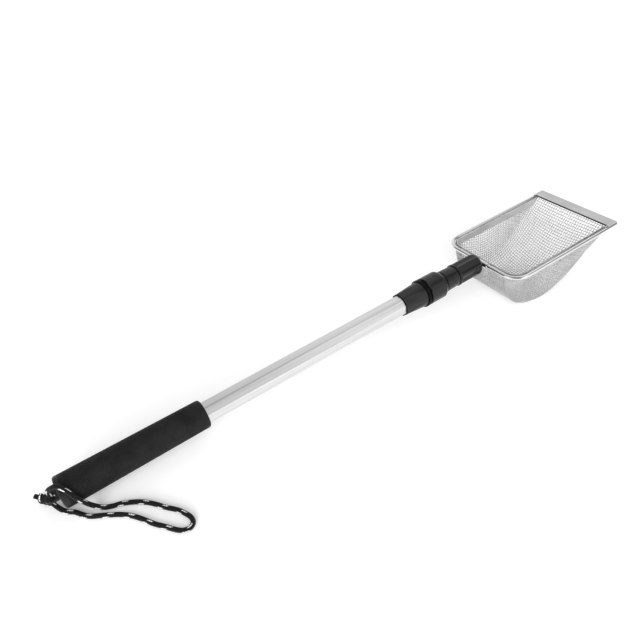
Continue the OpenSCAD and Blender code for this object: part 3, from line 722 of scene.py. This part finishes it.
def woven_basket():
    """Two families of round wires, each passing over and under the other, pressed to the basket's shape."""
    total = side_run[-1]
    count = round(total / WIRE_PITCH)
    pitch = total / count
    most = max(reach(s) for s in np.linspace(TOE_RUN, total, REACH_SAMPLES))
    side_count = math.ceil(most / WIRE_PITCH)
    columns = [j * WIRE_PITCH for j in range(-side_count, side_count + 1)]
    rows = [(i + 0.5) * pitch for i in range(count)]
    runs = []
    for j, t in enumerate(columns):
        places = [(0, t)] + [(s, t) for s in rows] + [(total, t)]
        rises = [0] + [WIRE_RISE * (-1) ** (i + j) for i in range(count)] + [0]
        runs += wire_run(places, rises)
    for i, s in enumerate(rows):
        rises = [-WIRE_RISE * (-1) ** (i + j) for j in range(len(columns))]
        runs += wire_run([(s, t) for t in columns], rises)
    curve = bpy.data.curves.new("wires", "CURVE")
    curve.dimensions = "3D"
    curve.bevel_depth = WIRE_R * MM
    curve.bevel_resolution = 1
    curve.use_fill_caps = True
    for run in runs:
        spline = curve.splines.new("POLY")
        spline.points.add(len(run) - 1)
        for point, place in zip(spline.points, run):
            point.co = (*place, 1)
    drawn = bpy.data.objects.new("wires", curve)
    bpy.context.scene.collection.objects.link(drawn)
    depsgraph = bpy.context.evaluated_depsgraph_get()
    data = bpy.data.meshes.new_from_object(drawn.evaluated_get(depsgraph))
    bpy.data.objects.remove(drawn)
    mesh = bmesh.new()
    mesh.from_mesh(data)
    finished("woven_wire_basket", mesh, WIRE, "head",
             ["basket_back", "basket_corner_left", "basket_corner_right", "basket_left",
              "basket_right", "basket_floor", "basket_ramp"])


woven_basket()


# ---- Floor and light ----

PAPER_HALF = 6
# What lifts the paper, and the share of it that mirrors show
PAPER_LIFT = 0.24
MIRROR_SHARE = 0.7
# The studio's level at the horizon and where it is darkest, the sine of the elevation where that is, and
# the least level that a dark cloth leaves
SKY_LOW = 1.0
SKY_HIGH = 0.38
SKY_TOP = 0.75
SKY_LEAST = 0.02
# Patches of the studio: azimuth and elevation of the middle, inner and outer radius, change of level
SKY_PATCHES = [
    ((-82, 24), 10, 22, 0.7),
    ((-60, 6), 6, 17, 0.2),
    ((-55, 40), 8, 20, 0.6),
    ((0, 62), 10, 24, 0.4),
    ((50, 44), 12, 34, 0.42),
    ((42, -12), 12, 38, -0.3),
    ((-24, 32), 14, 30, -0.4),
    ((-128, 18), 22, 32, -1.2),
    ((176, 18), 8, 18, 0.5),
    ((144, 14), 14, 24, -0.9),
]


def floor():
    """White paper. Seen straight on or mirrored, it is lifted to white, and it keeps the soft shadow."""
    made = Finish("floor_paper", (0.86, 0.86, 0.86), roughness=0.9)
    made.set("Specular IOR Level", 0.2)
    rays = made.node("LightPath")
    seen = made.math("MAXIMUM", rays.outputs["Is Camera Ray"], rays.outputs["Is Transmission Ray"])
    mirrored = made.math("MULTIPLY", rays.outputs["Is Glossy Ray"], MIRROR_SHARE)
    made.set("Emission Color", (1, 1, 1, 1))
    made.join(made.math("MULTIPLY", made.math("MAXIMUM", seen, mirrored), PAPER_LIFT),
              made.shader.inputs["Emission Strength"])
    mesh = bmesh.new()
    bmesh.ops.create_grid(mesh, x_segments=2, y_segments=2, size=PAPER_HALF)
    data = bpy.data.meshes.new("floor")
    mesh.to_mesh(data)
    mesh.free()
    data.materials.append(made.material)
    piece = bpy.data.objects.new("floor", data)
    bpy.context.scene.collection.objects.link(piece)


def heading(azimuth, elevation):
    """A direction from its turn from +X towards +Y and its height above the horizon, in degrees."""
    a, e = math.radians(azimuth), math.radians(elevation)
    return math.cos(e) * math.cos(a), math.cos(e) * math.sin(a), math.sin(e)


def world():
    """White where it is seen straight on. Round the object it is a studio with pale walls that get greyer
    upwards, with lit panels and dark cloths hung at the headings in SKY_PATCHES."""
    made = bpy.data.worlds.new("studio")
    made.use_nodes = True
    made.node_tree.nodes.clear()
    sky = Nodes(made.node_tree)
    around = sky.node("TexCoord").outputs["Generated"]
    light = sky.spread(sky.parts(around)["Z"], 0, SKY_TOP, SKY_LOW, SKY_HIGH)
    for centre, inner, outer, change in SKY_PATCHES:
        toward = sky.node("VectorMath", operation="DOT_PRODUCT")
        toward.inputs[1].default_value = heading(*centre)
        sky.join(around, toward.inputs[0])
        patch = sky.spread(toward.outputs["Value"], math.cos(math.radians(outer)),
                           math.cos(math.radians(inner)), 0, change, "SMOOTHSTEP")
        light = sky.math("ADD", light, patch)
    studio = sky.node("Background")
    white = sky.node("Background")
    for background in (studio, white):
        background.inputs["Color"].default_value = (1, 1, 1, 1)
    sky.join(sky.math("MAXIMUM", light, SKY_LEAST), studio.inputs["Strength"])
    mix = sky.node("MixShader")
    sky.join(sky.node("LightPath").outputs["Is Camera Ray"], mix.inputs["Fac"])
    sky.join(studio.outputs[0], mix.inputs[1])
    sky.join(white.outputs[0], mix.inputs[2])
    sky.join(mix.outputs[0], sky.node("OutputWorld").inputs["Surface"])
    bpy.context.scene.world = made


def skylight(name, azimuth, elevation, spread, level):
    """A wide, even light from far off; the level is what it adds to a surface that faces it."""
    data = bpy.data.lights.new(name, "SUN")
    data.angle = math.radians(spread)
    data.energy = level * math.pi
    lamp = bpy.data.objects.new(name, data)
    lamp.visible_glossy = False
    lamp.rotation_euler = (-Vector(heading(azimuth, elevation))).to_track_quat("-Z", "Y").to_euler()
    bpy.context.scene.collection.objects.link(lamp)


floor()
world()
skylight("front_light", azimuth=-142, elevation=28, spread=44, level=0.88)
skylight("side_fill", azimuth=-122, elevation=10, spread=26, level=0.55)

bpy.context.scene.view_settings.view_transform = "Standard"
